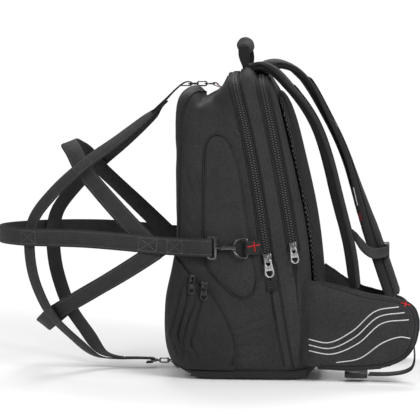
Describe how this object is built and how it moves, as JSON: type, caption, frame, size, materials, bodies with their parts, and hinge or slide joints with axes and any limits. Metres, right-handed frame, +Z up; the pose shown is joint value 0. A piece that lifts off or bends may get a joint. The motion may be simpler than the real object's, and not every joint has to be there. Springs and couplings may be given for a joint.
{
  "type": "motorcycle backpack",
  "caption": "Charcoal motorcycle backpack: hollow zipped body, padded shoulder straps and hip wings, grab handle, and a hooked webbing net held open on its front for a load.",
  "frame": {"origin": "centre of the flat base panel, on the floor that the pack stands on", "axes": "+X toward the wearer's back (back pad, shoulder straps, hip wings), -X the front with the net, +Y the wearer's left, +Z up"},
  "size_m": [0.615, 0.3396, 0.4844],
  "materials": {
    "cloth": "matt coated weave",
    "webbing": "woven strap",
    "mesh": "padded air mesh",
    "buckle_plastic": "moulded",
    "grip_rubber": "ribbed matt",
    "pull_metal": "satin",
    "hook_metal": "dark plated"
  },
  "bodies": {
    "pack": {"front_shell": "cloth", "gusset_band": "cloth", "back_shell": "cloth", "base_panel": "cloth", "front_pocket": "cloth", "front_zipper": "webbing", "main_zipper": "webbing", "side_pad_right": "cloth", "side_pad_left": "cloth", "back_pad": "mesh", "handle_loop": "webbing", "handle_grip": "grip_rubber", "shoulder_strap_right": "cloth", "shoulder_strap_left": "cloth", "strap_webbing_right": "webbing", "strap_webbing_left": "webbing", "sternum_strap": "webbing", "sternum_buckle": "buckle_plastic", "hip_wing_right": "cloth", "hip_wing_left": "cloth", "hip_webbing_right": "webbing", "hip_webbing_left": "webbing", "hip_buckle_right": "buckle_plastic", "hip_buckle_left": "buckle_plastic", "strap_buckle_right": "buckle_plastic", "strap_buckle_left": "buckle_plastic", "slider_front_right": "hook_metal", "slider_front_left": "hook_metal", "slider_main_right": "hook_metal", "slider_main_left": "hook_metal", "slider_pocket_front": "hook_metal", "slider_pocket_rear": "hook_metal", "ring_tab_right": "webbing", "d_ring_right": "hook_metal", "snap_hook_right": "hook_metal", "ring_tab_left": "webbing", "d_ring_left": "hook_metal", "snap_hook_left": "hook_metal", "ring_tab_top": "webbing", "d_ring_top": "hook_metal", "snap_hook_top": "hook_metal", "ring_tab_bottom": "webbing", "d_ring_bottom": "hook_metal", "snap_hook_bottom": "hook_metal", "net_top_strap": "webbing", "net_upper_strap": "webbing", "net_middle_strap": "webbing", "net_lower_strap": "webbing", "net_right_strap": "webbing", "net_left_strap": "webbing"},
    "pull_front_right": {"pull_front_right": "pull_metal"},
    "pull_front_left": {"pull_front_left": "pull_metal"},
    "pull_main_right": {"pull_main_right": "pull_metal"},
    "pull_main_left": {"pull_main_left": "pull_metal"},
    "pull_pocket_front": {"pull_pocket_front": "pull_metal"},
    "pull_pocket_rear": {"pull_pocket_rear": "pull_metal"},
    "hook_gate_right": {"hook_gate_right": "hook_metal"},
    "hook_gate_left": {"hook_gate_left": "hook_metal"},
    "hook_gate_top": {"hook_gate_top": "hook_metal"},
    "hook_gate_bottom": {"hook_gate_bottom": "hook_metal"}
  },
  "joints": [
    {"name": "pull_front_right_hinge", "type": "hinge", "parent": "pack", "child": "pull_front_right", "pos_m": [0.05428, -0.1576, 0.17212], "axis": [-0.989, 0, -0.1478], "range_deg": [0, 120]},
    {"name": "pull_front_left_hinge", "type": "hinge", "parent": "pack", "child": "pull_front_left", "pos_m": [0.05428, 0.1576, 0.17212], "axis": [0.989, 0, 0.1478], "range_deg": [0, 120]},
    {"name": "pull_main_right_hinge", "type": "hinge", "parent": "pack", "child": "pull_main_right", "pos_m": [0.08967, -0.15706, 0.18931], "axis": [-0.9877, 0, -0.1564], "range_deg": [0, 120]},
    {"name": "pull_main_left_hinge", "type": "hinge", "parent": "pack", "child": "pull_main_left", "pos_m": [0.08967, 0.15706, 0.18931], "axis": [0.9877, 0, 0.1564], "range_deg": [0, 120]},
    {"name": "pull_pocket_front_hinge", "type": "hinge", "parent": "pack", "child": "pull_pocket_front", "pos_m": [-0.05183, -0.15711, 0.14348], "axis": [-0.9511, 0.309, 0], "range_deg": [0, 120]},
    {"name": "pull_pocket_rear_hinge", "type": "hinge", "parent": "pack", "child": "pull_pocket_rear", "pos_m": [-0.03445, -0.1593, 0.13448], "axis": [-0.9945, 0.1045, 0], "range_deg": [0, 120]},
    {"name": "hook_gate_right_hinge", "type": "hinge", "parent": "pack", "child": "hook_gate_right", "pos_m": [-0.0045, -0.1682, 0.189], "axis": [0, 0, 1], "range_deg": [0, 20], "stiffness_Nm_per_rad": 0.004, "springref_deg": -17.19},
    {"name": "hook_gate_left_hinge", "type": "hinge", "parent": "pack", "child": "hook_gate_left", "pos_m": [-0.0045, 0.1682, 0.189], "axis": [0, 0, -1], "range_deg": [0, 20], "stiffness_Nm_per_rad": 0.004, "springref_deg": -17.19},
    {"name": "hook_gate_top_hinge", "type": "hinge", "parent": "pack", "child": "hook_gate_top", "pos_m": [-0.05452, 0, 0.4214], "axis": [0, 1, 0], "range_deg": [0, 20], "stiffness_Nm_per_rad": 0.004, "springref_deg": -17.19},
    {"name": "hook_gate_bottom_hinge", "type": "hinge", "parent": "pack", "child": "hook_gate_bottom", "pos_m": [-0.11052, 0, 0.0134], "axis": [0, 1, 0], "range_deg": [0, 20], "stiffness_Nm_per_rad": 0.004, "springref_deg": -17.19}
  ]
}
